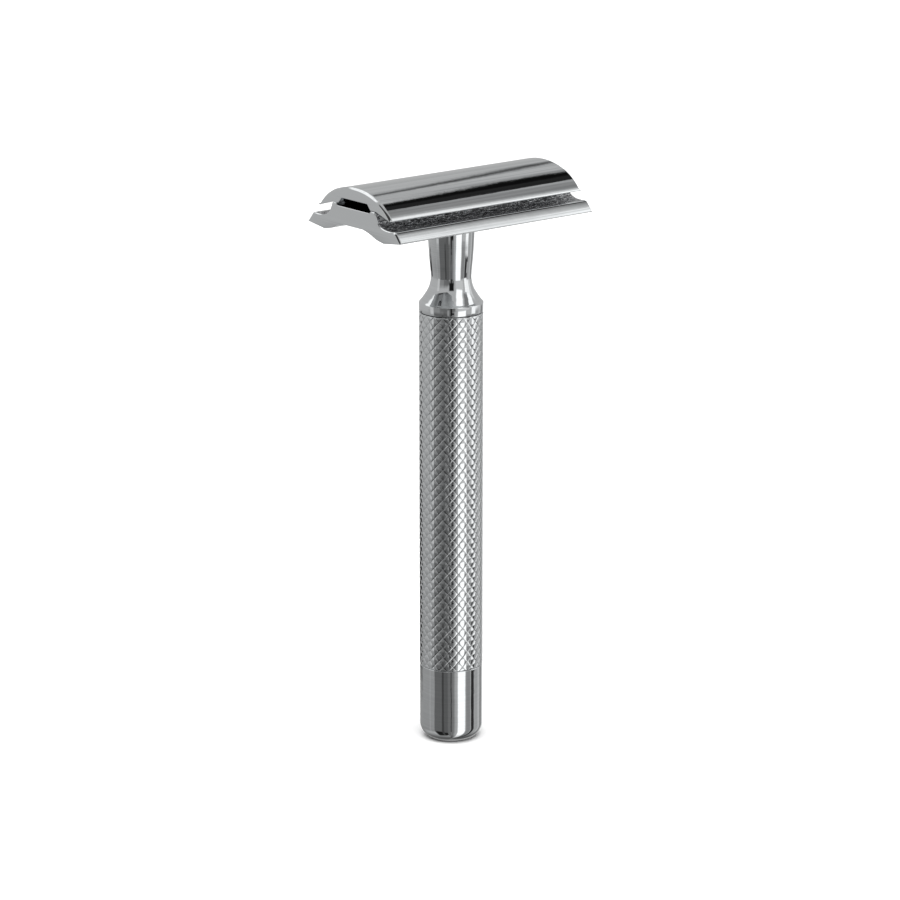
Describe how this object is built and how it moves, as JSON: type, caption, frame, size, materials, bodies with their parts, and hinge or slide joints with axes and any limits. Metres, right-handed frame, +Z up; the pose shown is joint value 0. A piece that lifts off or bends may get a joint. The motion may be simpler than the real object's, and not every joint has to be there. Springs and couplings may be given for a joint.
{
  "type": "safety razor",
  "caption": "Double-edge safety razor: an arched cap over a solid-bar guard plate, on a waisted neck and a knurled round handle that unscrews to open the head.",
  "frame": {"origin": "centre of the flat foot of the end cap, which is the bottom centre of the whole razor", "axes": "+Z up the handle to the head, X along the head, Y across the head towards its two shaving edges"},
  "size_m": [0.0436, 0.0258, 0.1045],
  "materials": {
    "chrome": "polished chrome plate with fine handling scratches",
    "knurled_chrome": "chrome plate over a diamond knurl",
    "steel": "turned stainless steel",
    "brass": "turned brass",
    "seal_rubber": "matt black nitrile rubber"
  },
  "bodies": {
    "handle": {"neck": "chrome", "thread_insert": "brass", "upper_seal": "seal_rubber", "grip_sleeve": "knurled_chrome", "tie_rod": "steel", "lower_seal": "seal_rubber", "end_cap": "chrome"},
    "guard_plate": {"base_plate": "chrome"},
    "cap_assembly": {"cap": "chrome", "cap_stud": "steel", "locating_posts": "steel"}
  },
  "joints": [
    {"name": "head_turn", "type": "hinge", "parent": "handle", "child": "guard_plate", "pos_m": [0, 0, 0.09769], "axis": [0, 0, 1], "range_deg": [0, 3240]},
    {"name": "cap_rise", "type": "slide", "parent": "guard_plate", "child": "cap_assembly", "axis": [0, 0, 1], "range_m": [0, 0.0072]}
  ],
  "couplings": [
    {"joint": "cap_rise", "follows": "head_turn", "m_per_rad": 0.00012732}
  ]
}
